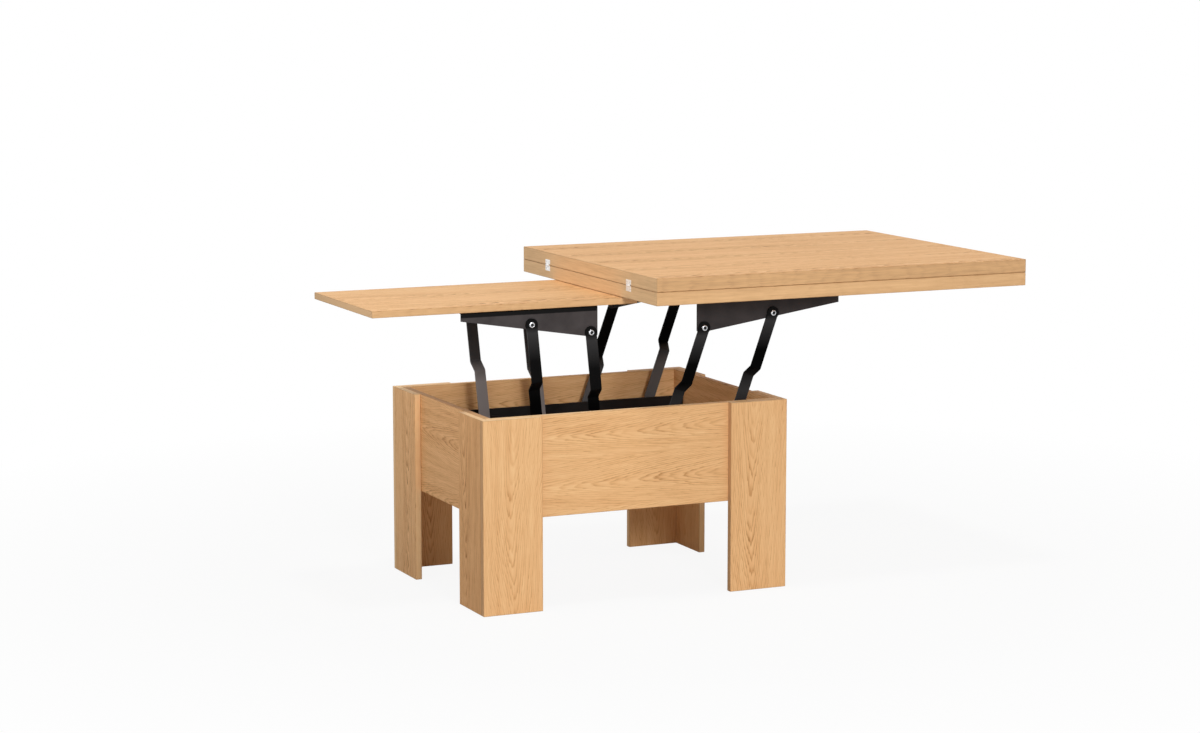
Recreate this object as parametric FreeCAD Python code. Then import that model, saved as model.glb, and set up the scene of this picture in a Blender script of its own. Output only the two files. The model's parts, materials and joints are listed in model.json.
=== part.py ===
import FreeCAD, Part
import math
import os

V = FreeCAD.Vector

# Base boards
BASE_LENGTH = 790.0
BASE_DEPTH = 588.0
BASE_HEIGHT = 460.0
BOARD = 16.0
LEG_WIDTH = 150.0
APRON_HEIGHT = 240.0
EASE = 0.8

# Folded top: two leaves whose hinge line lies over the middle of the base
TOP_HEIGHT = 780.0
LEAF_LENGTH = 1000.0
LEAF_DEPTH = 784.0
LEAF_THICK = 31.7
LEAF_GAP = 0.6

# Support panel that carries the opened leaf
PANEL_REACH = 627.3
PANEL_TUCK = 41.0
PANEL_THICK = 16.0
PANEL_GAP = 1.0
PANEL_OVERHANG = 13.5

# Left lift: upper pivots from the hinge line and the panel, lower ones from the middle and the rim
LEFT_PIVOT_X = 228.4
LEFT_PIVOT_DROP = 37.6
LEFT_PIVOT_SPAN = 152.4
LEFT_PIVOT_STEP = 26.3
LEFT_SEAT_X = 199.89
LEFT_SEAT_DROP = 84.26
LEFT_TIP = 176.6
LEFT_TIP_DEPTH = 21.0

# Right lift: upper pivots from the hinge line and the leaf, lower ones from the middle and the bottom
RIGHT_PIVOT_X = 375.0
RIGHT_PIVOT_DROP = 50.5
RIGHT_PIVOT_SPAN = 184.0
RIGHT_PIVOT_STEP = 26.5
RIGHT_SEAT_X = 245.52
RIGHT_SEAT_RISE = 65.89
RIGHT_TIP = 181.0
RIGHT_TIP_DEPTH = 33.8

# Steel sections
PLATE = 4.0
SHEET = 3.0
PLAY = 0.5
BEND = 3.0
ARM_WIDTH = 27.5
ARM_HEAD = 15.2
JOGGLE = 23.0
JOGGLE_START = 138.0
JOGGLE_RUN = 20.0
FLANGE = 26.0
HEEL = 18.0
PIVOT_EDGE = 13.0
BRACKET_EDGE = 15.0

# Rails, and the spaces kept beside the moving pieces
RAIL_HEIGHT = 101.0
RAIL_DROP = 59.0
RAIL_TAB = 32.0
WALL_CLEAR = 1.5
RAIL_CLEAR = 7.0
LIFT_SPACING = 63.5

# Fasteners and stops
PIVOT_RADIUS = 5.0
PIVOT_HEAD = 8.0
PIVOT_HEAD_HEIGHT = 3.0
PIVOT_FIT = 0.05
SOCKET = 3.2
SOCKET_DEPTH = 1.8
NUT_RADIUS = 8.5
NUT_HEIGHT = 5.0
SCREW_RADIUS = 2.0
SCREW_HEAD = 4.0
SCREW_HEAD_HEIGHT = 2.5
SCREW_BITE = 11.0
SCREW_INSET = 28.0
BOLT_INSET = 30.0
STOP_RADIUS = 4.0
LEFT_STOP_AT = 20.0
RIGHT_STOP_AT = 40.0

# Leaf hinges
HINGE_OFFSET = 238.0
HINGE_WIDTH = 28.0
HINGE_HEIGHT = 11.2
HINGE_PLATE = 2.0
KNUCKLE = 2.4
KNUCKLE_LENGTH = 17.0
KNUCKLE_PLAY = 0.4
HINGE_PIN = 1.1
HINGE_SCREW = 1.2
HINGE_SCREW_HEAD = 2.3
HINGE_SCREW_SPREAD = 8.4

# Box and board levels
HALF_X = BASE_LENGTH / 2
HALF_Y = BASE_DEPTH / 2
BOX_X = HALF_X - BOARD
BOX_Y = HALF_Y - BOARD
INNER_X = BOX_X - BOARD
INNER_Y = BOX_Y - BOARD
APRON_BOTTOM = BASE_HEIGHT - APRON_HEIGHT
FLOOR = APRON_BOTTOM + BOARD
FOLD = TOP_HEIGHT - LEAF_THICK - LEAF_GAP / 2
LEAF_BOTTOM = FOLD - LEAF_GAP / 2 - LEAF_THICK
PANEL_TOP = LEAF_BOTTOM - PANEL_GAP
PANEL_BOTTOM = PANEL_TOP - PANEL_THICK

# Layers across the depth, from the middle outwards
RIGHT_WEB = INNER_Y - WALL_CLEAR - PIVOT_HEAD_HEIGHT - PLATE - PLAY - SHEET
LEFT_WEB = RIGHT_WEB - LIFT_SPACING
RAIL_FACE = LEFT_WEB + SHEET + PLAY + PLATE + PIVOT_HEAD_HEIGHT + RAIL_CLEAR
RAIL_BACK = RAIL_FACE + PLATE
RAIL_TOP = BASE_HEIGHT - RAIL_DROP
RAIL_BOTTOM = RAIL_TOP - RAIL_HEIGHT
PANEL_HALF = LEFT_WEB + PANEL_OVERHANG


# A parallelogram lift, in distances out from the middle of the base: the outer pivot comes first
class Lift:
    def __init__(self, turn, under, web, pivot, drop, span, step, seat, seat_z, tip, tip_depth):
        self.turn = turn
        self.under = under
        self.web = web
        self.tops = [(pivot, under - drop), (pivot - span, under - drop - step)]
        self.roots = [(seat, seat_z), (seat - span, seat_z - step)]
        rise = self.tops[0][1] - seat_z
        self.length = math.hypot(pivot - seat, rise)
        self.lean = math.atan2(pivot - seat, rise)
        self.upper = web + SHEET + PLAY
        self.lower = self.upper - JOGGLE
        self.tip = pivot + tip
        self.tip_depth = tip_depth
        self.heel = pivot - span - HEEL
        self.heel_depth = drop + step + PIVOT_EDGE

    def stop(self, root, along):
        side = ARM_WIDTH / 2 + STOP_RADIUS + PLAY
        out = root[0] + along * math.sin(self.lean) + side * math.cos(self.lean)
        return out, root[1] + along * math.cos(self.lean) - side * math.sin(self.lean)

    def screws(self):
        return self.tip - SCREW_INSET, (self.tip + self.heel) / 2, self.heel + SCREW_INSET


LEFT = Lift(-1, PANEL_BOTTOM, LEFT_WEB, LEFT_PIVOT_X, LEFT_PIVOT_DROP, LEFT_PIVOT_SPAN, LEFT_PIVOT_STEP,
            LEFT_SEAT_X, BASE_HEIGHT - LEFT_SEAT_DROP, LEFT_TIP, LEFT_TIP_DEPTH)
RIGHT = Lift(1, LEAF_BOTTOM, RIGHT_WEB, RIGHT_PIVOT_X, RIGHT_PIVOT_DROP, RIGHT_PIVOT_SPAN, RIGHT_PIVOT_STEP,
             RIGHT_SEAT_X, FLOOR + RIGHT_SEAT_RISE, RIGHT_TIP, RIGHT_TIP_DEPTH)
LEFT_PLATE = LEFT.lower + PLATE + PLAY
RIGHT_PLATE = RIGHT.lower - PLAY - PLATE
LEFT_STOP = LEFT.stop(LEFT.roots[1], LEFT_STOP_AT)
RIGHT_STOP = RIGHT.stop(RIGHT.roots[0], RIGHT_STOP_AT)
LEFT_SHELF = LEFT.roots[1][1] - BRACKET_EDGE - PLATE
RIGHT_SHELF = RIGHT_STOP[1] + STOP_RADIUS + PLAY
LEFT_SPAN = (LEFT.roots[1][0] - BRACKET_EDGE, LEFT.roots[0][0] + BRACKET_EDGE)
RIGHT_SPAN = (RIGHT.roots[1][0] - BRACKET_EDGE, RIGHT_STOP[0] + BRACKET_EDGE)
LEFT_BOLT = (RAIL_BOTTOM + LEFT_SHELF) / 2
RIGHT_BOLT = (RIGHT_SHELF + PLATE + RAIL_TOP) / 2


# Shape helpers, all for the back half of the table
def box(x0, x1, y0, y1, z0, z1):
    return Part.makeBox(x1 - x0, y1 - y0, z1 - z0, V(x0, y0, z0))


def board(x0, x1, y0, y1, z0, z1):
    blank = box(x0, x1, y0, y1, z0, z1)
    return blank.makeChamfer(EASE, blank.Edges)


def side_box(turn, out0, out1, y0, y1, z0, z1):
    x0, x1 = sorted((turn * out0, turn * out1))
    return box(x0, x1, y0, y1, z0, z1)


def rod(radius, start, along):
    return Part.makeCylinder(radius, along.Length, start, along)


def rod_y(radius, x, z, y0, y1):
    return rod(radius, V(x, y0, z), V(0, y1 - y0, 0))


def prism_y(points, y0, y1, turn=1):
    corners = [V(turn * x, y0, z) for x, z in points]
    face = Part.Face(Part.makePolygon(corners + corners[:1]))
    return face.extrude(V(0, y1 - y0, 0))


def hexagon_y(x, z, radius, y0, y1):
    turns = [math.radians(60 * i) for i in range(6)]
    return prism_y([(x + radius * math.cos(t), z + radius * math.sin(t)) for t in turns], y0, y1)


def edges_at(shape, spots):
    picked = []
    for edge in shape.Edges:
        low = edge.BoundBox
        ends = ((low.XMin, low.XMax), (low.YMin, low.YMax), (low.ZMin, low.ZMax))
        for spot in spots:
            if all(v is None or max(abs(v - a), abs(v - b)) < 0.01 for v, (a, b) in zip(spot, ends)):
                picked.append(edge)
    return picked


def bent(shape, thickness, inner, outer):
    shape = shape.makeFillet(BEND, edges_at(shape, inner))
    return shape.makeFillet(BEND + thickness, edges_at(shape, outer))


def front(shape):
    return shape.mirror(V(0, 0, 0), V(0, 1, 0))


def both(shapes):
    return list(shapes) + [front(s) for s in shapes]


# Flat bar set off sideways by the joggle, standing on its lower pivot and leaning outwards
def offset_path(path, offset):
    moved = []
    for i, (y, z) in enumerate(path):
        before = path[max(i - 1, 0)]
        after = path[min(i + 1, len(path) - 1)]
        into = V(y - before[0], z - before[1], 0) if i else V(after[0] - y, after[1] - z, 0)
        away = V(after[0] - y, after[1] - z, 0) if i < len(path) - 1 else V(into)
        into.normalize()
        away.normalize()
        across = V(into.y + away.y, -into.x - away.x, 0)
        across.normalize()
        reach = offset / (across.x * into.y - across.y * into.x)
        moved.append((y + across.x * reach, z + across.y * reach))
    return moved


def arm(lift, root):
    middle = lift.lower + PLATE / 2
    bend = lift.length - JOGGLE_START - JOGGLE_RUN
    path = [(middle, 0), (middle, bend), (middle + JOGGLE, bend + JOGGLE_RUN), (middle + JOGGLE, lift.length)]
    outer = offset_path(path, PLATE / 2)
    inner = offset_path(path, -PLATE / 2)
    corners = [V(-ARM_WIDTH / 2, y, z) for y, z in outer + inner[::-1]]
    bar = Part.Face(Part.makePolygon(corners + corners[:1])).extrude(V(ARM_WIDTH, 0, 0))
    bar = bent(bar, PLATE, [(None,) + outer[1], (None,) + inner[2]], [(None,) + inner[1], (None,) + outer[2]])
    for y, z in ((lift.lower, 0), (lift.upper, lift.length)):
        bar = bar.fuse(rod_y(ARM_HEAD, 0, z, y, y + PLATE))
        bar = bar.cut(rod_y(PIVOT_RADIUS + PIVOT_FIT, 0, z, y - PLAY, y + PLATE + PLAY))
    bar = bar.removeSplitter()
    bar.rotate(V(0, 0, 0), V(0, 1, 0), math.degrees(lift.turn * lift.lean))
    bar.translate(V(lift.turn * root[0], 0, root[1]))
    return bar


# Tapered upper bracket: upright web with a flange turned inwards under the board that it carries
def upper_bracket(lift):
    top = lift.under
    web = lift.web
    face = web + SHEET
    corner = PIVOT_EDGE / 2
    slope = (lift.heel_depth - lift.tip_depth) / (lift.tip - lift.heel)
    foot = top - lift.heel_depth
    outline = [(lift.tip, top), (lift.heel, top), (lift.heel, foot + corner),
               (lift.heel + corner, foot + slope * corner), (lift.tip, top - lift.tip_depth)]
    flange = side_box(lift.turn, lift.heel, lift.tip, face - FLANGE, face, top - SHEET, top)
    plate = prism_y(outline, web, face, lift.turn).fuse(flange).removeSplitter()
    plate = bent(plate, SHEET, [(None, web, top - SHEET)], [(None, face, top)])
    for out, z in lift.tops:
        plate = plate.cut(rod_y(PIVOT_RADIUS, lift.turn * out, z, web - PLAY, face + PLAY))
    for out in lift.screws():
        plate = plate.cut(screw_hole(lift, out, SHEET))
    return plate


def screw_spot(lift, out):
    return V(lift.turn * out, lift.web + (SHEET - FLANGE) / 2, lift.under)


def screw_hole(lift, out, below):
    start = screw_spot(lift, out) - V(0, 0, below)
    return rod(SCREW_RADIUS, start, V(0, 0, below + SCREW_BITE))


def bracket_screws(lift):
    made = []
    for out in lift.screws():
        start = screw_spot(lift, out) - V(0, 0, SHEET)
        shank = rod(SCREW_RADIUS, start, V(0, 0, SHEET + SCREW_BITE))
        head = rod(SCREW_HEAD, start, V(0, 0, -SCREW_HEAD_HEIGHT))
        made.append(shank.fuse(head).removeSplitter())
    return made


def screwed_board(blank, lift):
    return blank.cut(both([screw_hole(lift, out, PLAY) for out in lift.screws()]))


# Upper pivots: socket-head bolt outside the arm, nut inside the web
def upper_bolt(lift, top):
    x = lift.turn * top[0]
    z = top[1]
    face = lift.upper + PLATE
    end = face + PIVOT_HEAD_HEIGHT
    head = rod_y(PIVOT_HEAD, x, z, face, end)
    head = head.makeChamfer(PIVOT_HEAD_HEIGHT / 2, edges_at(head, [(None, end, None)]))
    shank = rod_y(PIVOT_RADIUS, x, z, lift.web - NUT_HEIGHT, face)
    return head.fuse(shank).removeSplitter().cut(hexagon_y(x, z, SOCKET, end - SOCKET_DEPTH, end + PLAY))


def upper_nut(lift, top):
    x = lift.turn * top[0]
    z = top[1]
    start = lift.web - NUT_HEIGHT
    bore = rod_y(PIVOT_RADIUS, x, z, start - PLAY, lift.web + PLAY)
    return hexagon_y(x, z, NUT_RADIUS, start, lift.web).cut(bore)


# Lower pivots: stud fixed in the bracket plate, with a head that keeps the arm on
def lower_stud(lift, root, plate):
    x = lift.turn * root[0]
    z = root[1]
    if plate < lift.lower:
        shank = rod_y(PIVOT_RADIUS, x, z, plate, lift.lower + PLATE)
        head = rod_y(PIVOT_HEAD, x, z, lift.lower + PLATE, lift.lower + PLATE + PIVOT_HEAD_HEIGHT)
    else:
        shank = rod_y(PIVOT_RADIUS, x, z, lift.lower, plate + PLATE)
        head = rod_y(PIVOT_HEAD, x, z, lift.lower - PIVOT_HEAD_HEIGHT, lift.lower)
    return shank.fuse(head).removeSplitter()


def stop_pin(lift, spot, plate):
    start = min(plate, lift.lower)
    return rod_y(STOP_RADIUS, lift.turn * spot[0], spot[1], start, start + 2 * PLATE + PLAY)


# Lower brackets: plate beside the arms, a shelf across to the rail and a flange bolted to it
def lower_bracket(lift, outline, plate, span, shelf, flange, bolt, stop):
    body = prism_y(outline, plate, plate + PLATE, lift.turn)
    y0 = min(plate, flange)
    y1 = max(plate, flange) + PLATE
    z0, z1 = (RAIL_BOTTOM, shelf + PLATE) if flange > plate else (shelf, RAIL_TOP)
    body = body.fuse([side_box(lift.turn, span[0], span[1], y0, y1, shelf, shelf + PLATE),
                      side_box(lift.turn, span[0], span[1], flange, flange + PLATE, z0, z1)]).removeSplitter()
    low, high = (plate, flange) if flange > plate else (flange, plate)
    body = bent(body, PLATE, [(None, low + PLATE, shelf + PLATE), (None, high, shelf)],
                [(None, low, shelf), (None, high + PLATE, shelf + PLATE)])
    for out, z in lift.roots:
        body = body.cut(rod_y(PIVOT_RADIUS, lift.turn * out, z, plate - PLAY, plate + PLATE + PLAY))
    body = body.cut(rod_y(STOP_RADIUS, lift.turn * stop[0], stop[1], plate - PLAY, plate + PLATE + PLAY))
    return drilled(body, lift, span, bolt)


def left_lower_bracket():
    (out1, z1), (_, z2) = LEFT.roots
    start, end = LEFT_SPAN
    ridge = LEFT_STOP[1] + STOP_RADIUS + PLAY
    half = BRACKET_EDGE / 2
    outline = [(start, LEFT_SHELF), (start, z2 + half), (start + half, z2 + BRACKET_EDGE),
               (LEFT_STOP[0] - half, ridge), (LEFT_STOP[0] + BRACKET_EDGE, ridge),
               (out1 - BRACKET_EDGE, z1 + BRACKET_EDGE), (end - half, z1 + BRACKET_EDGE),
               (end, z1 + half), (end, LEFT_SHELF)]
    flange = RAIL_FACE - PLATE
    return lower_bracket(LEFT, outline, LEFT_PLATE, LEFT_SPAN, LEFT_SHELF, flange, LEFT_BOLT, LEFT_STOP)


def right_lower_bracket():
    (out1, z1), (out2, z2) = RIGHT.roots
    start, end = RIGHT_SPAN
    half = BRACKET_EDGE / 2
    outline = [(start, z2 - half), (start + half, z2 - BRACKET_EDGE),
               (out2 + BRACKET_EDGE, z2 - BRACKET_EDGE), (out1 + BRACKET_EDGE, z1 - BRACKET_EDGE),
               (end, RIGHT_STOP[1] - BRACKET_EDGE),
               (end, RIGHT_SHELF + PLATE), (start, RIGHT_SHELF + PLATE)]
    flange = RAIL_BACK
    return lower_bracket(RIGHT, outline, RIGHT_PLATE, RIGHT_SPAN, RIGHT_SHELF, flange, RIGHT_BOLT, RIGHT_STOP)


def bolt_places(lift, span):
    return lift.turn * (span[0] + BOLT_INSET), lift.turn * (span[1] - BOLT_INSET)


def drilled(shape, lift, span, height):
    holes = [rod_y(SCREW_RADIUS, x, height, RAIL_FACE - PLATE - PLAY, RAIL_BACK + PLATE + PLAY)
             for x in bolt_places(lift, span)]
    return shape.cut(holes)


def bracket_bolts():
    made = []
    for x in bolt_places(LEFT, LEFT_SPAN):
        shank = rod_y(SCREW_RADIUS, x, LEFT_BOLT, RAIL_FACE - PLATE, RAIL_BACK)
        head = rod_y(SCREW_HEAD, x, LEFT_BOLT, RAIL_FACE - PLATE - SCREW_HEAD_HEIGHT, RAIL_FACE - PLATE)
        made.append(shank.fuse(head).removeSplitter())
    for x in bolt_places(RIGHT, RIGHT_SPAN):
        shank = rod_y(SCREW_RADIUS, x, RIGHT_BOLT, RAIL_FACE, RAIL_BACK + PLATE)
        head = rod_y(SCREW_HEAD, x, RIGHT_BOLT, RAIL_BACK + PLATE, RAIL_BACK + PLATE + SCREW_HEAD_HEIGHT)
        made.append(shank.fuse(head).removeSplitter())
    return made


# Mechanism rail, both ends turned away from the middle and screwed to the side aprons
RAIL_SCREW_Y = (RAIL_BACK + RAIL_FACE + RAIL_TAB) / 2
RAIL_SCREWS = [(RAIL_SCREW_Y, RAIL_BOTTOM + SCREW_INSET), (RAIL_SCREW_Y, RAIL_TOP - SCREW_INSET)]


def rail():
    bar = box(-INNER_X, INNER_X, RAIL_FACE, RAIL_BACK, RAIL_BOTTOM, RAIL_TOP)
    tabs = [side_box(turn, INNER_X - PLATE, INNER_X, RAIL_FACE, RAIL_FACE + RAIL_TAB, RAIL_BOTTOM, RAIL_TOP)
            for turn in (-1, 1)]
    bar = bar.fuse(tabs).removeSplitter()
    bar = bent(bar, PLATE, [(turn * (INNER_X - PLATE), RAIL_BACK, None) for turn in (-1, 1)],
               [(turn * INNER_X, RAIL_FACE, None) for turn in (-1, 1)])
    bar = drilled(drilled(bar, LEFT, LEFT_SPAN, LEFT_BOLT), RIGHT, RIGHT_SPAN, RIGHT_BOLT)
    for y, z in RAIL_SCREWS:
        bar = bar.cut(rod(SCREW_RADIUS, V(-INNER_X - PLAY, y, z), V(2 * (INNER_X + PLAY), 0, 0)))
    return bar


def rail_screws():
    made = []
    for y, z in RAIL_SCREWS:
        for turn in (-1, 1):
            start = V(turn * (INNER_X - PLATE), y, z)
            shank = rod(SCREW_RADIUS, start, V(turn * (PLATE + SCREW_BITE), 0, 0))
            head = rod(SCREW_HEAD, start, V(-turn * SCREW_HEAD_HEIGHT, 0, 0))
            made.append(shank.fuse(head).removeSplitter())
    return made


# Base boards
def leg(turn):
    outer = sorted((turn * (HALF_X - LEG_WIDTH), turn * HALF_X))
    inner = sorted((turn * BOX_X, turn * HALF_X))
    face = board(outer[0], outer[1], BOX_Y, HALF_Y, 0, BASE_HEIGHT)
    side = board(inner[0], inner[1], HALF_Y - LEG_WIDTH, BOX_Y, 0, BASE_HEIGHT)
    return face, side


def side_apron(turn):
    x0, x1 = sorted((turn * INNER_X, turn * BOX_X))
    blank = board(x0, x1, -INNER_Y, INNER_Y, APRON_BOTTOM, BASE_HEIGHT)
    holes = [rod(SCREW_RADIUS, V(turn * (INNER_X - PLAY), y, z), V(turn * (SCREW_BITE + PLAY), 0, 0))
             for y, z in RAIL_SCREWS]
    return blank.cut(both(holes))


# Leaf hinges, let into the leaf edges and turning on the fold line
AXIS_X = -LEAF_GAP / 2
HINGE_START = HINGE_OFFSET - HINGE_WIDTH / 2
HINGE_END = HINGE_OFFSET + HINGE_WIDTH / 2
KNUCKLE_START = HINGE_OFFSET - KNUCKLE_LENGTH / 2
KNUCKLE_END = HINGE_OFFSET + KNUCKLE_LENGTH / 2
HINGE_SCREWS = (HINGE_OFFSET - HINGE_SCREW_SPREAD, HINGE_OFFSET + HINGE_SCREW_SPREAD)
POCKET = KNUCKLE + KNUCKLE_PLAY


def hinge_level(up):
    return FOLD + up * (POCKET + HINGE_HEIGHT / 2)


def hinge_plate(up):
    third = KNUCKLE_LENGTH / 3
    far = FOLD + up * (POCKET + HINGE_HEIGHT)
    if up > 0:
        spans = [(KNUCKLE_START + third + KNUCKLE_PLAY, KNUCKLE_END - third - KNUCKLE_PLAY)]
    else:
        spans = [(KNUCKLE_START, KNUCKLE_START + third), (KNUCKLE_END - third, KNUCKLE_END)]
    low, high = sorted((FOLD + up * POCKET, far))
    plate = box(0, HINGE_PLATE, HINGE_START, HINGE_END, low, high)
    for y0, y1 in spans:
        tongue = box(0, HINGE_PLATE, y0, y1, min(FOLD, low), max(FOLD, high))
        plate = plate.fuse([tongue, rod_y(KNUCKLE, AXIS_X, FOLD, y0, y1)]).removeSplitter()
    for y in HINGE_SCREWS:
        spot = V(-PLAY, y, hinge_level(up))
        plate = plate.cut([rod(HINGE_SCREW, spot, V(HINGE_PLATE + 2 * PLAY, 0, 0)),
                           rod(HINGE_SCREW_HEAD, spot, V(HINGE_PLATE / 2 + PLAY, 0, 0))])
    bore = HINGE_PIN + (PIVOT_FIT if up > 0 else 0)
    return plate.cut(rod_y(bore, AXIS_X, FOLD, HINGE_START - PLAY, HINGE_END + PLAY))


def hinge_screws(up):
    made = []
    for y in HINGE_SCREWS:
        start = V(0, y, hinge_level(up))
        head = rod(HINGE_SCREW_HEAD, start, V(HINGE_PLATE / 2, 0, 0))
        shank = rod(HINGE_SCREW, start, V(HINGE_PLATE + SCREW_BITE, 0, 0))
        made.append(head.fuse(shank).removeSplitter())
    return made


def leaf(up):
    z0, z1 = sorted((FOLD + up * LEAF_GAP / 2, FOLD + up * (LEAF_GAP / 2 + LEAF_THICK)))
    blank = board(0, LEAF_LENGTH, -LEAF_DEPTH / 2, LEAF_DEPTH / 2, z0, z1)
    far = FOLD + up * (POCKET + HINGE_HEIGHT)
    seat = box(-PLAY, HINGE_PLATE, HINGE_START, HINGE_END, min(FOLD, far), max(FOLD, far))
    hollow = box(-PLAY, POCKET, HINGE_START, HINGE_END, FOLD - POCKET, FOLD + POCKET)
    depth = V(HINGE_PLATE + SCREW_BITE, 0, 0)
    pilots = [rod(HINGE_SCREW, V(0, y, hinge_level(up)), depth) for y in HINGE_SCREWS]
    return blank.cut(both([seat, hollow] + pilots))


# Every piece by name, the whole table centred over the middle of its footprint
PIECES = {}


def pair(name, shape):
    PIECES[name.format("back")] = [shape]
    PIECES[name.format("front")] = [front(shape)]


for hand, turn in (("left", -1), ("right", 1)):
    face_board, side_board = leg(turn)
    pair("leg_{}_" + hand + "_face", face_board)
    pair("leg_{}_" + hand + "_side", side_board)
    PIECES["apron_" + hand] = [side_apron(turn)]
pair("apron_{}", board(-BOX_X, BOX_X, INNER_Y, BOX_Y, APRON_BOTTOM, BASE_HEIGHT))
PIECES["bottom_panel"] = [board(-INNER_X, INNER_X, -INNER_Y, INNER_Y, APRON_BOTTOM, FLOOR)]

pair("rail_{}", rail())
pair("lower_bracket_{}_left", left_lower_bracket())
pair("lower_bracket_{}_right", right_lower_bracket())
PIECES["rail_screws"] = both(rail_screws())
PIECES["lower_bracket_bolts"] = both(bracket_bolts())
PIECES["stop_pins"] = both([stop_pin(LEFT, LEFT_STOP, LEFT_PLATE), stop_pin(RIGHT, RIGHT_STOP, RIGHT_PLATE)])

for hand, lift, plate in (("left", LEFT, LEFT_PLATE), ("right", RIGHT, RIGHT_PLATE)):
    for place, root in zip(("outer", "inner"), lift.roots):
        pair("arm_{}_" + hand + "_" + place, arm(lift, root))
    pair("upper_bracket_{}_" + hand, upper_bracket(lift))
    PIECES["lower_pivots_" + hand] = both([lower_stud(lift, root, plate) for root in lift.roots])
    PIECES["upper_pivots_" + hand] = both([upper_bolt(lift, top) for top in lift.tops])
    PIECES["upper_pivot_nuts_" + hand] = both([upper_nut(lift, top) for top in lift.tops])
    PIECES["upper_bracket_screws_" + hand] = both(bracket_screws(lift))

panel = board(-PANEL_REACH, PANEL_TUCK, -PANEL_HALF, PANEL_HALF, PANEL_BOTTOM, PANEL_TOP)
PIECES["support_panel"] = [screwed_board(panel, LEFT)]
PIECES["lower_leaf"] = [screwed_board(leaf(-1), RIGHT)]
PIECES["upper_leaf"] = [leaf(1)]
for level, up in (("lower", -1), ("upper", 1)):
    pair("hinge_" + level + "_plate_{}", hinge_plate(up))
    PIECES["hinge_" + level + "_screws"] = both(hinge_screws(up))
pair("hinge_pin_{}", rod_y(HINGE_PIN, AXIS_X, FOLD, KNUCKLE_START, KNUCKLE_END))

MIDDLE = (LEAF_LENGTH - PANEL_REACH) / 2
os.makedirs("parts", exist_ok=True)
for name, shapes in PIECES.items():
    shape = shapes[0] if len(shapes) == 1 else Part.makeCompound(shapes)
    shape.translate(V(-MIDDLE, 0, 0))
    shape.exportStep(os.path.join("parts", name + ".step"))
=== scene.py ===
import json
import math

import bpy
import bmesh
from mathutils import Matrix, Vector


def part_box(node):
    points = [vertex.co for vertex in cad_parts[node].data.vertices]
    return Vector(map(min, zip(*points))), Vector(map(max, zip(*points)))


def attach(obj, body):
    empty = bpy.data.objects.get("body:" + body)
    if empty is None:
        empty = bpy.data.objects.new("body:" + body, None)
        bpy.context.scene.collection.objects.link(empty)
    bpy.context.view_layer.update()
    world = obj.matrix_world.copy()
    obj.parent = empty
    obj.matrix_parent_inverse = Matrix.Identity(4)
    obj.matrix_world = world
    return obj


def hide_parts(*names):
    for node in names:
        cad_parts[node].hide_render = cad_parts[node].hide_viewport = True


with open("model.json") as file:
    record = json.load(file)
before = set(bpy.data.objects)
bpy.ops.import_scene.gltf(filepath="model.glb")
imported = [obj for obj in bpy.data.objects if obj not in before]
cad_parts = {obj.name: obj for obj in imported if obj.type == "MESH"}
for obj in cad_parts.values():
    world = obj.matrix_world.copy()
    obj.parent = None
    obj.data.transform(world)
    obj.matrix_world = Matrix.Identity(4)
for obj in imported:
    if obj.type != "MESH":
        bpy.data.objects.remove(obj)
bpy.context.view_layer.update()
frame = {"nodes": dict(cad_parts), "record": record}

scene = bpy.context.scene
nodes = frame["nodes"]
X, Y, Z = range(3)
WHITE = (1, 1, 1, 1)


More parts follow.
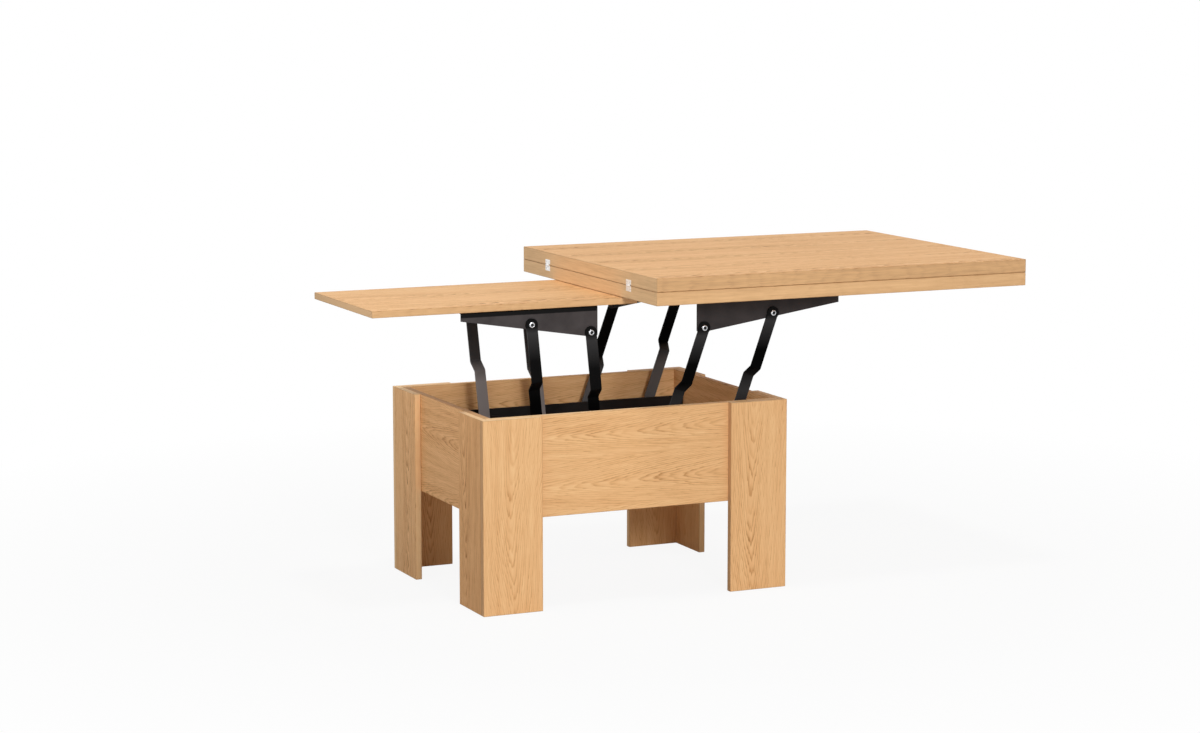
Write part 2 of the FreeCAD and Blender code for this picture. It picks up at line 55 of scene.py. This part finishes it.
# Shader graphs
class Graph:
    """A material's node tree, with short calls for the nodes used here."""

    def __init__(self, name):
        self.material = bpy.data.materials.new(name)
        self.material.use_nodes = True
        self.tree = self.material.node_tree
        self.shader = self.tree.nodes["Principled BSDF"]

    def add(self, kind, **settings):
        made = self.tree.nodes.new("ShaderNode" + kind)
        for key, value in settings.items():
            setattr(made, key, value)
        return made

    def put(self, socket, value):
        """Links a socket to the output of another node, or sets it to a constant."""
        if isinstance(value, bpy.types.NodeSocket):
            self.tree.links.new(value, socket)
        else:
            socket.default_value = value

    def feed(self, made, *values):
        """Fills a node's first sockets in their order and gives its first output."""
        for socket, value in zip(made.inputs, values):
            self.put(socket, value)
        return made.outputs[0]

    def math(self, operation, *values, clamp=False):
        return self.feed(self.add("Math", operation=operation, use_clamp=clamp), *values)

    def vector(self, operation, *values):
        return self.feed(self.add("VectorMath", operation=operation), *values)

    def split(self, vector):
        made = self.add("SeparateXYZ")
        self.feed(made, vector)
        return list(made.outputs)

    def join(self, *values):
        return self.feed(self.add("CombineXYZ"), *values)

    def noise(self, vector, waves, detail, roughness=0.5):
        """Noise with so many waves per metre along each axis."""
        made = self.add("TexNoise")
        self.put(made.inputs["Vector"], self.vector("MULTIPLY", vector, waves))
        self.put(made.inputs["Scale"], 1.0)
        self.put(made.inputs["Detail"], detail)
        self.put(made.inputs["Roughness"], roughness)
        return made.outputs["Fac"]

    def spread(self, value, low, high, out_low=0.0, out_high=1.0):
        """Maps the range from low to high to another one, and holds the ends beyond it."""
        return self.feed(self.add("MapRange"), value, low, high, out_low, out_high)

    def ramp(self, value, stops):
        """The colour at a value, from stops of a place and a colour each."""
        made = self.add("ValToRGB")
        points = made.color_ramp.elements
        while len(points) < len(stops):
            points.new(0.5)
        for point, (place, colour) in zip(points, stops):
            point.position = place
            point.color = colour
        return self.feed(made, value)

    def blend(self, share, first, second, kind="RGBA"):
        """The first of two colours or vectors with a share of the second mixed in."""
        made = self.add("Mix", data_type=kind)
        shown = [s for s in made.inputs if s.enabled]
        for socket, value in zip(shown, (share, first, second)):
            self.put(socket, value)
        return next(s for s in made.outputs if s.enabled)

    def bump(self, height, strength, distance):
        made = self.add("Bump")
        self.put(made.inputs["Height"], height)
        self.put(made.inputs["Strength"], strength)
        self.put(made.inputs["Distance"], distance)
        self.put(self.shader.inputs["Normal"], made.outputs[0])

    def finish(self, **sockets):
        """Fills sockets of the shader, named with _ for a space, and gives the material."""
        for name, value in sockets.items():
            self.put(self.shader.inputs[name.replace("_", " ")], value)
        return self.material


def srgb(red, green, blue):
    """A display colour of 0 to 255 as the linear colour that a shader takes."""
    parts = [v / 255 for v in (red, green, blue)]
    return tuple(v / 12.92 if v < 0.04045 else ((v + 0.055) / 1.055) ** 2.4 for v in parts) + (1.0,)


# Oak boards
OAK = ((0.0, srgb(158, 106, 61)), (0.3, srgb(201, 149, 97)), (0.62, srgb(229, 179, 126)),
       (1.0, srgb(243, 202, 149)))
BANDING = srgb(238, 206, 162)
# Brown of the thin darker line along each edge of a board
EDGE_LINE_BROWN = srgb(122, 80, 46)

# Waves per metre of each mark in the wood, along the grain and in the two directions across it
WANDER_WAVES = (2.2, 5.0, 5.0)
FEATHER_WAVES = (12.0, 190.0, 190.0)
PULL_WAVES = (4.5, 26.0, 26.0)
PATCH_WAVES = (3.5, 12.0, 12.0)
FIBRE_WAVES = (16.0, 520.0, 520.0)
THREAD_WAVES = (15.0, 250.0, 250.0)
STREAK_WAVES = (1.6, 64.0, 64.0)
PORE_WAVES = (46.0, 1500.0, 1500.0)

# Year rings: lengths in metres, the rise of the rings per metre of grain, and the darkness over one year
RING = 0.0042
PITH = 0.011
SWING = 0.044
RAGGED = 0.0060
HEARTWOOD = (0.008, 0.045)
CONE = 0.105
YEAR = ((0.0, 0.5), (0.12, 0.0), (0.55, 0.20), (0.90, 1.0))

# Tone of the plain wood, and how far each mark lightens or darkens it
PLAIN_TONE = 0.74
LATE_DEPTH = 0.50
FIBRE_DEPTH = 0.36
END_DEPTH = 0.35
STREAK_DEPTH = 0.42
PORE_DEPTH = 0.24

# Edges: how far the rings fade there, the shares of banding, and the dark line's width in metres and share
RIM_FADE = 0.85
RIM_BANDING = 0.3
END_BANDING = 0.25
EDGE_LINE_WIDTH = 0.0017
EDGE_LINE_SHARE = 0.32


def late_wood(g, way, marks, heart, period, tip):
    """The dark part of each year ring: cathedrals round hearts a period apart, straighter lines between."""
    along, side = g.split(way)[:2]
    wander = g.noise(marks, WANDER_WAVES, detail=1.0)
    swing = g.math("MULTIPLY_ADD", wander, SWING, -SWING / 2 - heart)
    from_heart = g.math("PINGPONG", g.math("ADD", side, swing), period / 2)
    radius = g.math("SQRT", g.math("MULTIPLY_ADD", from_heart, from_heart, PITH ** 2))
    rings = g.math("MULTIPLY_ADD", along, CONE * tip, radius)
    feather = g.noise(marks, FEATHER_WAVES, detail=3.0, roughness=0.62)
    pull = g.noise(marks, PULL_WAVES, detail=1.0)
    for ragged in (feather, pull):
        rings = g.math("MULTIPLY_ADD", ragged, RAGGED, rings)
    rings = g.math("DIVIDE", rings, RING)
    late = g.ramp(g.math("FRACT", rings), [(place, (v, v, v, 1)) for place, v in YEAR])
    year = g.add("TexWhiteNoise", noise_dimensions="1D")
    g.put(year.inputs["W"], g.math("FLOOR", rings))
    growth = g.spread(year.outputs["Value"], 0.0, 1.0, 0.35, 1.0)
    patch = g.spread(g.noise(marks, PATCH_WAVES, detail=1.0), 0.3, 0.7, 0.6, 1.0)
    near_heart = g.spread(from_heart, *HEARTWOOD, 1.0, 0.65)
    for share in (patch, growth, near_heart):
        late = g.math("MULTIPLY", late, share)
    return late


def edge_line_share(g, place, size):
    """The share of the dark line: a thin darker line wherever two faces of the board meet."""
    inside = [g.math("ADD", g.math("ABSOLUTE", place[i]), EDGE_LINE_WIDTH - size[i] / 2) for i in range(3)]
    pairs = [g.math("MINIMUM", inside[i], inside[j]) for i, j in ((0, 1), (1, 2), (0, 2))]
    near = g.math("MAXIMUM", g.math("MAXIMUM", pairs[0], pairs[1]), pairs[2])
    return g.spread(near, 0.0, EDGE_LINE_WIDTH * 0.5, 0.0, EDGE_LINE_SHARE)


def oak(node, grain, heart, period, tip, seed, figure=1.0, shade=0.0, edge_light_and_shade=0.0, end_light_and_shade=0.0):
    """Oak-faced board with banded ends.

    The grain runs along one axis; heart and period place its cathedrals, tip says which way they point and
    figure how dark they are. Shade and the values for the edges and the ends change the tone of the board,
    its edges and its ends, and they are painted light and shade: darker where shade falls, lighter where
    light falls.
    """
    low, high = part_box(node)
    size = high - low
    face = min(range(3), key=lambda i: size[i])
    across = 3 - grain - face
    g = Graph("oak_" + node)
    coords = g.add("TexCoord")
    place = g.split(g.vector("SUBTRACT", coords.outputs["Object"], (low + high) / 2))
    facing = g.split(coords.outputs["Normal"])
    on_end = g.math("GREATER_THAN", g.math("ABSOLUTE", facing[grain]), 0.7)
    on_face = g.math("GREATER_THAN", g.math("ABSOLUTE", facing[face]), 0.5)
    on_edge = g.math("SUBTRACT", g.math("SUBTRACT", 1.0, on_face), on_end, clamp=True)
    on_rim = g.math("ADD", on_edge, on_end)
    board_way = g.join(place[grain], place[across], place[face])
    end_way = g.join(place[across], g.math("ADD", place[face], heart + period * 0.32), place[grain])
    way = g.blend(on_end, board_way, end_way, kind="VECTOR")
    marks = g.vector("ADD", way, (seed * 1.71, seed * 3.13, seed * 0.77))

    late = late_wood(g, way, marks, heart, period, tip)
    late = g.math("MULTIPLY", late, g.math("MULTIPLY_ADD", on_rim, -RIM_FADE, 1.0))
    fibre = g.noise(marks, FIBRE_WAVES, detail=3.0, roughness=0.6)
    thread = g.noise(marks, THREAD_WAVES, detail=1.0)
    streak = g.noise(marks, STREAK_WAVES, detail=2.0)
    dash = g.noise(marks, PORE_WAVES, detail=1.0)
    pores = g.math("MULTIPLY", g.spread(dash, 0.60, 0.70), g.spread(late, 0.0, 0.5, 0.35, 1.0))

    tone = g.math("MULTIPLY_ADD", late, -LATE_DEPTH * figure, PLAIN_TONE + shade)
    depth = g.math("MULTIPLY_ADD", on_end, END_DEPTH, FIBRE_DEPTH)
    for mark, amount in ((fibre, depth), (thread, depth), (streak, STREAK_DEPTH)):
        tone = g.math("MULTIPLY_ADD", g.math("SUBTRACT", mark, 0.5), amount, tone)
    # Painted light and shade: the edges and the ends made lighter and darker than the faces, board by board.
    tone = g.math("MULTIPLY_ADD", on_edge, edge_light_and_shade, tone)
    tone = g.math("MULTIPLY_ADD", on_end, end_light_and_shade, tone)
    tone = g.math("MULTIPLY_ADD", pores, -PORE_DEPTH, tone, clamp=True)
    banding = g.math("MULTIPLY_ADD", on_end, END_BANDING, g.math("MULTIPLY", on_rim, RIM_BANDING))
    colour = g.blend(banding, g.ramp(tone, OAK), BANDING)
    colour = g.blend(edge_line_share(g, place, size), colour, EDGE_LINE_BROWN)

    height = g.math("SUBTRACT", g.math("MULTIPLY", fibre, 0.5), g.math("MULTIPLY", pores, 0.9))
    g.bump(height, 0.22, 0.00018)
    rough = g.math("MULTIPLY_ADD", tone, -0.10, 0.60)
    rough = g.math("MULTIPLY_ADD", pores, 0.18, rough)
    return g.finish(Base_Color=colour, Roughness=rough, Specular_IOR_Level=0.08)


# Steel and plating, with waves per metre along each axis
PEEL_WAVES = (820.0, 820.0, 820.0)
CLOUD_WAVES = (24.0, 24.0, 24.0)
STAIN_WAVES = (60.0, 60.0, 60.0)
GRIT_WAVES = (1400.0, 1400.0, 1400.0)
# Painted shadow under a board: its black, and the blur of its lower edge in metres
PAINTED_SHADOW_BLACK = srgb(8, 7, 7)
PAINTED_SHADOW_BLUR = 0.001

# An arm's head, its greys of 0 to 255 at shoulder, waist and foot, and the depth in metres that they fill
ARM_HEAD = 20
# The greys are painted light and shade: darker where the board above shades an arm, paler where sheen and
# reflected light fall on it.
ARM_LIGHT_AND_SHADE_GREYS = {
    "front_left": (50, 16, 6),
    "front_right": (48, 7, 48),
    "back_left": (52, 64, 145),
    "back_right": (18, 9, 92),
}
ARM_FADE = (0.02, 0.20)
ARM_STOPS = (0.0, 0.08, 0.45, 0.70, 1.0)
ARM_ROUGH = 0.37


def powder(name, rough):
    """Starts a coat with its orange peel and gloss; gives the graph, the place in it and its clouds."""
    g = Graph(name)
    place = g.add("TexCoord").outputs["Object"]
    g.bump(g.noise(place, PEEL_WAVES, detail=2.0), 0.16, 0.00025)
    cloud = g.noise(place, CLOUD_WAVES, detail=3.0)
    g.finish(Roughness=g.math("MULTIPLY_ADD", cloud, 0.16, rough - 0.08))
    return g, place, cloud


def powder_coat(name, dark, light, rough, sheen, shadow_height=None):
    """Satin black coat, with a band of painted shadow above the given height if it has one: black where a
    board above shades it.
    """
    g, place, cloud = powder(name, rough)
    colour = g.ramp(cloud, ((0.3, dark), (0.7, light)))
    if shadow_height:
        above = g.spread(g.split(place)[Z], shadow_height, shadow_height + PAINTED_SHADOW_BLUR)
        colour = g.blend(above, colour, PAINTED_SHADOW_BLACK)
    return g.finish(Base_Color=colour, Specular_IOR_Level=sheen)


def arm_coat(node, shoulder, waist, foot):
    """Satin black coat of an arm, with painted light and shade: a dark head, then a grey that changes from
    shoulder to waist to foot, its sheen following the grey.
    """
    g, place = powder("black_coat_" + node, ARM_ROUGH)[:2]
    down = g.math("SUBTRACT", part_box(node)[1].z, g.split(place)[Z])
    greys = [srgb(v, v * 0.98, v * 0.99) for v in (ARM_HEAD, shoulder, waist, waist, foot)]
    colour = g.ramp(g.spread(down, *ARM_FADE), list(zip(ARM_STOPS, greys)))
    sheen = g.math("MINIMUM", g.math("MULTIPLY", colour, 3.0), 0.1)
    return g.finish(Base_Color=colour, Specular_IOR_Level=sheen)


def plating(name, light, dark, rough, brush_waves, metal=1.0):
    """Bright plating with fine brush lines."""
    g = Graph(name)
    place = g.add("TexCoord").outputs["Object"]
    lines = g.noise(place, brush_waves, detail=3.0, roughness=0.65)
    stain = g.noise(place, STAIN_WAVES, detail=2.0)
    mixed = g.math("MULTIPLY_ADD", stain, 0.5, g.math("MULTIPLY", lines, 0.5))
    colour = g.ramp(mixed, ((0.3, dark), (0.7, light)))
    g.bump(lines, 0.10, 0.00012)
    gloss = g.math("MULTIPLY_ADD", lines, 0.2, rough - 0.1)
    return g.finish(Base_Color=colour, Roughness=gloss, Metallic=metal)


def socket_shade_and_dark_metal():
    """Dark metal for the parts of a fastener that are not bright: painted shade inside the sockets and cross
    recesses, and dark collars and shanks.
    """
    g = Graph("socket_shade_and_dark_metal")
    place = g.add("TexCoord").outputs["Object"]
    grit = g.noise(place, GRIT_WAVES, detail=2.0)
    colour = g.ramp(grit, ((0.3, srgb(14, 14, 15)), (0.7, srgb(30, 29, 29))))
    g.bump(grit, 0.2, 0.0002)
    return g.finish(Base_Color=colour, Roughness=g.math("MULTIPLY_ADD", grit, 0.2, 0.5), Metallic=0.4)


STEEL = powder_coat("black_powder_coat", srgb(18, 17, 17), srgb(27, 25, 25), 0.42, 0.2)
# Painted shade on the brackets: the right ones take a darker copy of the left coat for the top leaf's
# shadow, and each takes a band of painted shadow under the board it holds, deeper on the left.
BRACKET_STEEL = {
    hand: powder_coat("black_bracket_coat_" + hand, dark, light, 0.46, 0.1,
                      shadow_height=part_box("upper_bracket_front_" + hand)[1].z - depth)
    for hand, dark, light, depth in (("left", srgb(62, 57, 57), srgb(74, 69, 69), 0.0135),
                                     ("right", srgb(50, 46, 46), srgb(60, 55, 55), 0.004))}
ZINC = plating("bright_zinc", srgb(226, 227, 230), srgb(196, 198, 203), 0.30, (300.0, 1600.0, 300.0))
NICKEL = plating("bright_nickel", srgb(255, 254, 252), srgb(244, 243, 240), 0.36, (1500.0, 90.0, 90.0),
                 metal=0.45)
SOCKET_SHADE_AND_DARK_METAL = socket_shade_and_dark_metal()


# Materials of the nodes
LEG = dict(grain=Z, period=0.30, tip=-1)
# Painted light and shade in the boards' tones: darker left faces, darker rims of the left, back and right
# aprons where the top shades them, a dark left edge on the front right leg, darker panel end and leaf edges
# and ends, and lighter lit tops of the left legs and the front apron's rim. The rest of shade and figure
# sets the boards' own tone and grain.
BOARDS = {
    "apron_front": dict(grain=X, heart=0.068, period=0.118, tip=-1, seed=1.0, figure=1.1, edge_light_and_shade=0.30),
    "apron_back": dict(grain=X, heart=0.060, period=0.124, tip=-1, seed=2.0, edge_light_and_shade=-0.25),
    "apron_left": dict(grain=Y, heart=0.030, period=0.150, tip=1, seed=3.0, figure=0.9, shade=-0.16,
                       edge_light_and_shade=-0.45),
    "apron_right": dict(grain=Y, heart=-0.020, period=0.150, tip=1, seed=4.0, shade=-0.10, edge_light_and_shade=-0.35),
    "bottom_panel": dict(grain=X, heart=0.05, period=0.21, tip=1, seed=5.0),
    "leg_front_left_face": dict(LEG, heart=0.004, seed=6.0, edge_light_and_shade=-0.60, end_light_and_shade=0.35),
    "leg_front_left_side": dict(LEG, heart=0.030, seed=7.0, figure=1.1, shade=-0.20, end_light_and_shade=0.30),
    "leg_front_right_face": dict(LEG, heart=-0.018, seed=8.0, figure=1.15, edge_light_and_shade=-0.7),
    "leg_front_right_side": dict(LEG, heart=0.010, seed=9.0),
    "leg_back_left_face": dict(LEG, heart=0.012, seed=10.0, end_light_and_shade=0.25),
    "leg_back_left_side": dict(LEG, heart=-0.012, seed=11.0, figure=2.0, end_light_and_shade=0.25),
    "leg_back_right_face": dict(LEG, heart=0.0, seed=12.0),
    "leg_back_right_side": dict(LEG, heart=0.018, seed=13.0),
    "support_panel": dict(grain=X, heart=0.03, period=0.20, tip=1, seed=14.0, figure=2.2, shade=0.07,
                          edge_light_and_shade=-0.40, end_light_and_shade=-0.95),
    "lower_leaf": dict(grain=X, heart=0.04, period=0.19, tip=-1, seed=15.0, figure=1.7,
                       edge_light_and_shade=-0.32, end_light_and_shade=-0.18),
    "upper_leaf": dict(grain=X, heart=-0.03, period=0.17, tip=-1, seed=16.0, figure=1.8, shade=-0.02,
                       edge_light_and_shade=-0.46, end_light_and_shade=-0.25),
}


def paint(name, material):
    """Gives a node its only material."""
    mesh = nodes[name].data
    mesh.materials.clear()
    mesh.materials.append(material)


for name in nodes:
    words = name.split("_")
    if name in BOARDS:
        paint(name, oak(name, **BOARDS[name]))
    elif name.startswith(("hinge_lower_plate", "hinge_upper_plate", "hinge_pin")):
        paint(name, NICKEL)
    elif name.startswith(("lower_pivots", "stop_pins")):
        paint(name, ZINC)
    elif name.startswith(("upper_bracket_front", "upper_bracket_back")):
        paint(name, BRACKET_STEEL[words[-1]])
    elif name.startswith("arm_"):
        paint(name, arm_coat(name, *ARM_LIGHT_AND_SHADE_GREYS["_".join(words[1:3])]))
    else:
        paint(name, STEEL)


# Loops of points for the fasteners, round the Z axis
SEGMENTS = 48


def loop(height, reach):
    """Points round the axis at a height, each as far out as reach gives for its turn."""
    made = []
    for i in range(SEGMENTS):
        turn = 2 * math.pi * i / SEGMENTS
        out = reach(turn)
        made.append(Vector((out * math.cos(turn), out * math.sin(turn), height)))
    return made


def circle(radius, height):
    return loop(height, lambda turn: radius)


def hexagon(flat, height):
    """A hexagon whose sides lie at a distance of flat from the axis."""
    return loop(height, lambda turn: flat / math.cos((turn % (math.pi / 3)) - math.pi / 6))


def cross(arm, half, height):
    """A cross recess with arms of a length and half a width."""
    def reach(turn):
        c, s = abs(math.cos(turn)), abs(math.sin(turn))
        return min(arm / max(c, s), half / max(min(c, s), 1e-6))

    return loop(height, reach)


# Profiles of the heads, in shares of the radius and the height
COLLAR = ((0.98, 0.0), (1.0, 0.04), (1.0, 0.20), (0.88, 0.24))
BUTTON = ((0.86, 0.26), (0.86, 0.42), (0.84, 0.58), (0.79, 0.76), (0.72, 0.90), (0.63, 0.98), (0.56, 1.0))
PAN = ((0.97, 0.0), (1.0, 0.10), (0.98, 0.42), (0.90, 0.70), (0.76, 0.90), (0.62, 1.0))
PAN_RECESS = ((0.56, 0.15, 1.0), (0.52, 0.12, 0.75), (0.30, 0.09, 0.30))

# Profiles of the flat head, in shares of the radius, with depths below its top
FLAT = ((1.0, 0.08), (0.97, 0.02), (0.90, 0.0), (0.70, 0.0))
FLAT_RECESS = ((0.62, 0.16, 0.0), (0.56, 0.13, 0.12), (0.36, 0.10, 0.36))
POINT = 0.15


def button_head(radius, height, shank, length):
    """Domed bolt head with a hexagon socket, on a dark collar and a plain shank down from height 0."""
    stem = [circle(shank, -length), circle(shank, 0.0)]
    collar = [circle(radius * c, height * h) for c, h in COLLAR]
    dome = [circle(radius * c, height * h) for c, h in BUTTON]
    flat = radius * 0.45
    bore = [hexagon(flat * 1.08, height), hexagon(flat, height * 0.93), hexagon(flat, height * 0.22)]
    first = len(stem) + len(collar)
    return stem + collar + dome + bore, range(first, first + len(dome))


def pan_head(radius, height, shank, length):
    """Pan-head screw with a cross recess, on a shank that narrows to its point."""
    stem = [circle(shank * POINT, -length), circle(shank, -length * 0.78), circle(shank, 0.0)]
    dome = [circle(radius * c, height * h) for c, h in PAN]
    bore = [cross(radius * c, radius * w, height * h) for c, w, h in PAN_RECESS]
    return stem + dome + bore, range(1, len(stem) + len(dome))


def flat_head(radius, height, shank, length):
    """Countersunk screw, flush with its plate or raised by its height, with a cross recess."""
    stem = [circle(shank * POINT, -length), circle(shank, -length * 0.8), circle(shank, -radius * 0.4)]
    dome = [circle(radius * c, height - radius * h) for c, h in FLAT]
    bore = [cross(radius * c, radius * w, height - radius * h) for c, w, h in FLAT_RECESS]
    return stem + dome + bore, range(1, len(stem) + len(dome))


# Fasteners in place of the plain ones
FINISHES = {"zinc": ZINC, "nickel": NICKEL}
BODY_OF = {name: body for body, names in frame["record"]["behaviour"]["bodies"].items() for name in names}
PIVOT_HEAD, SCREW_HEAD = 0.003, 0.0025
PIVOT_SHANK, SCREW_SHANK, HINGE_SHANK = 0.005, 0.002, 0.0012


def islands(name):
    """The separate solids in a node, each as its lowest and highest corner."""
    mesh = nodes[name].data
    spots = [tuple(round(c, 6) for c in v.co) for v in mesh.vertices]
    parent = {s: s for s in spots}

    def root(spot):
        while parent[spot] != spot:
            parent[spot] = parent[parent[spot]]
            spot = parent[spot]
        return spot

    for edge in mesh.edges:
        a, b = (root(spots[i]) for i in edge.vertices)
        parent[a] = b
    groups = {}
    for spot in parent:
        groups.setdefault(root(spot), []).append(spot)
    return [(Vector(map(min, *g)), Vector(map(max, *g))) for g in groups.values()]


def loops_to_mesh(bm, loops, bright):
    """Skins a stack of equal loops and closes both ends; the bands in bright take the first material."""
    rows = [[bm.verts.new(p) for p in points] for points in loops]
    for band, (lower, upper) in enumerate(zip(rows, rows[1:])):
        for i in range(SEGMENTS):
            j = (i + 1) % SEGMENTS
            made = bm.faces.new((lower[i], lower[j], upper[j], upper[i]))
            made.material_index = int(band not in bright)
            made.smooth = True
    bm.faces.new(rows[0][::-1]).material_index = 1
    bm.faces.new(rows[-1]).material_index = 1


def fasten(node, finish, make):
    """Replaces a node of fasteners by detailed ones, which make gives from each solid's corners."""
    bm = bmesh.new()
    for low, high in islands(node):
        loops, bright, base, out = make(low, high)
        turn = Vector((0, 0, 1)).rotation_difference(out).to_matrix().to_4x4()
        moved = Matrix.Translation(base) @ turn
        loops_to_mesh(bm, [[moved @ p for p in points] for points in loops], bright)
    bmesh.ops.recalc_face_normals(bm, faces=bm.faces)
    mesh = bpy.data.meshes.new(node + "_detailed")
    bm.to_mesh(mesh)
    bm.free()
    for material in (FINISHES[finish], SOCKET_SHADE_AND_DARK_METAL):
        mesh.materials.append(material)
    piece = bpy.data.objects.new(node + "_detailed", mesh)
    scene.collection.objects.link(piece)
    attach(piece, BODY_OF[node])
    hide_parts(node)


def headed(axis, sign, low, high, maker, height, shank):
    """The loops of one fastener that lies along an axis, its head at the end that sign points to."""
    base = (low + high) / 2
    base[axis] = (high[axis] if sign > 0 else low[axis]) - sign * height
    other = low[axis] if sign > 0 else high[axis]
    out = Vector((0, 0, 0))
    out[axis] = sign
    radius = (high - low)[(axis + 1) % 3] / 2
    loops, bright = maker(radius, height, shank, abs(base[axis] - other))
    return loops, bright, base, out


def outward(low, high):
    """The sign of Y on which a solid lies: away from the table's middle."""
    return 1 if low.y + high.y > 0 else -1


def in_right_half(low, high):
    """Whether a solid lies in the right half of the box."""
    left, right = (corner.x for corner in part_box("bottom_panel"))
    return low.x + high.x > left + right


def pivot_bolt(low, high):
    return headed(Y, outward(low, high), low, high, button_head, PIVOT_HEAD, PIVOT_SHANK)


def under_board(low, high):
    return headed(Z, -1, low, high, pan_head, SCREW_HEAD, SCREW_SHANK)


def in_apron(low, high):
    sign = -1 if in_right_half(low, high) else 1
    return headed(X, sign, low, high, pan_head, SCREW_HEAD, SCREW_SHANK)


def through_rail(low, high):
    """The heads lie on the bracket's flange: inside the rail on the left lift, outside it on the right."""
    sign = outward(low, high) if in_right_half(low, high) else -outward(low, high)
    return headed(Y, sign, low, high, pan_head, SCREW_HEAD, SCREW_SHANK)


def in_leaf(low, high):
    return headed(X, -1, low, high, flat_head, 0.0, HINGE_SHANK)


for hand in ("left", "right"):
    fasten("upper_pivots_" + hand, "zinc", pivot_bolt)
    fasten("upper_bracket_screws_" + hand, "zinc", under_board)
fasten("rail_screws", "zinc", in_apron)
fasten("lower_bracket_bolts", "zinc", through_rail)
for level in ("lower", "upper"):
    fasten("hinge_" + level + "_screws", "nickel", in_leaf)


# Floor, light and camera, in metres, watts and degrees
FILL_STRENGTH = 0.43
FLOOR_REACH = 40.0
FLOOR_DROP = 0.0005
FLOOR_GREY = (0.62, 0.62, 0.62, 1)
SHADOW_REACH = (1.0, 2.4)
SHADOW_SHARE = 0.09
CAMERA_PLACE = (-3.07725, -6.4138, 1.5573)
CAMERA_DIP = 8.359
CAMERA_TURN = -24.521
CAMERA_LENS = 87.58
CAMERA_SENSOR = 36.0


def backdrop_share(tree):
    """1 where a ray comes from the camera, a gloss or a clear surface."""
    rays = tree.nodes.new("ShaderNodeLightPath")
    total = rays.outputs["Is Camera Ray"]
    for other in ("Is Glossy Ray", "Is Transmission Ray"):
        made = tree.nodes.new("ShaderNodeMath")
        made.operation = "MAXIMUM"
        tree.links.new(total, made.inputs[0])
        tree.links.new(rays.outputs[other], made.inputs[1])
        total = made.outputs[0]
    return total


def studio_world():
    """Even fill light, which shows as plain white behind the object."""
    world = bpy.data.worlds.new("studio")
    scene.world = world
    world.use_nodes = True
    tree = world.node_tree
    tree.nodes.clear()
    mix = tree.nodes.new("ShaderNodeMixShader")
    tree.links.new(backdrop_share(tree), mix.inputs[0])
    for socket, strength in zip(mix.inputs[1:], (FILL_STRENGTH, 1.0)):
        light = tree.nodes.new("ShaderNodeBackground")
        light.inputs["Color"].default_value = WHITE
        light.inputs["Strength"].default_value = strength
        tree.links.new(light.outputs[0], socket)
    out = tree.nodes.new("ShaderNodeOutputWorld")
    tree.links.new(mix.outputs[0], out.inputs[0])


def pale_floor():
    """A wide floor that shows as white, but for a share near the object that keeps its shadow."""
    mesh = bpy.data.meshes.new("floor")
    corners = [(x * FLOOR_REACH, y * FLOOR_REACH, 0) for x, y in ((-1, -1), (1, -1), (1, 1), (-1, 1))]
    mesh.from_pydata(corners, [], [(0, 1, 2, 3)])
    floor = bpy.data.objects.new("floor", mesh)
    floor.location.z = -FLOOR_DROP
    scene.collection.objects.link(floor)
    g = Graph("pale_floor")
    away = g.add("VectorMath", operation="LENGTH")
    g.put(away.inputs[0], g.add("TexCoord").outputs["Object"])
    near = g.spread(away.outputs["Value"], *SHADOW_REACH, SHADOW_SHARE, 0.0)
    share = g.math("MULTIPLY", backdrop_share(g.tree), g.math("SUBTRACT", 1.0, near))
    glow = g.feed(g.add("Emission"), WHITE, 1.0)
    shown = g.feed(g.add("MixShader"), share, g.shader.outputs[0], glow)
    g.put(g.tree.nodes["Material Output"].inputs["Surface"], shown)
    mesh.materials.append(g.finish(Base_Color=FLOOR_GREY, Roughness=0.9))


def area_light(name, place, target, size, power, beam=180):
    """A round lamp aimed at a target, its light held within the beam's angle."""
    data = bpy.data.lights.new(name, "AREA")
    data.shape = "DISK"
    data.size = size
    data.energy = power
    data.spread = math.radians(beam)
    made = bpy.data.objects.new(name, data)
    made.location = place
    made.rotation_euler = (Vector(target) - Vector(place)).to_track_quat("-Z", "Y").to_euler()
    scene.collection.objects.link(made)


studio_world()
pale_floor()
area_light("key", (-0.55, -1.1, 6.35), (0.0, 0.0, 0.45), 0.9, 120)
area_light("front", (-0.74, -5.1, 2.1), (0.0, 0.0, 0.45), 1.2, 112)
area_light("right", (4.5, -0.5, 2.6), (0.0, 0.0, 0.5), 2.5, 30)
area_light("left", (-2.0, -0.3, 1.1), (-0.4, 0.0, 0.74), 0.6, 1.2, beam=66)

camera_data = bpy.data.cameras.new("camera")
camera_data.sensor_width = CAMERA_SENSOR
camera_data.lens = CAMERA_LENS
camera_data.clip_start = 0.1
camera_data.clip_end = 200.0
camera = bpy.data.objects.new("camera", camera_data)
camera.location = CAMERA_PLACE
camera.rotation_euler = (math.radians(90 - CAMERA_DIP), 0.0, math.radians(CAMERA_TURN))
scene.collection.objects.link(camera)
scene.camera = camera
scene.view_settings.view_transform = "Standard"
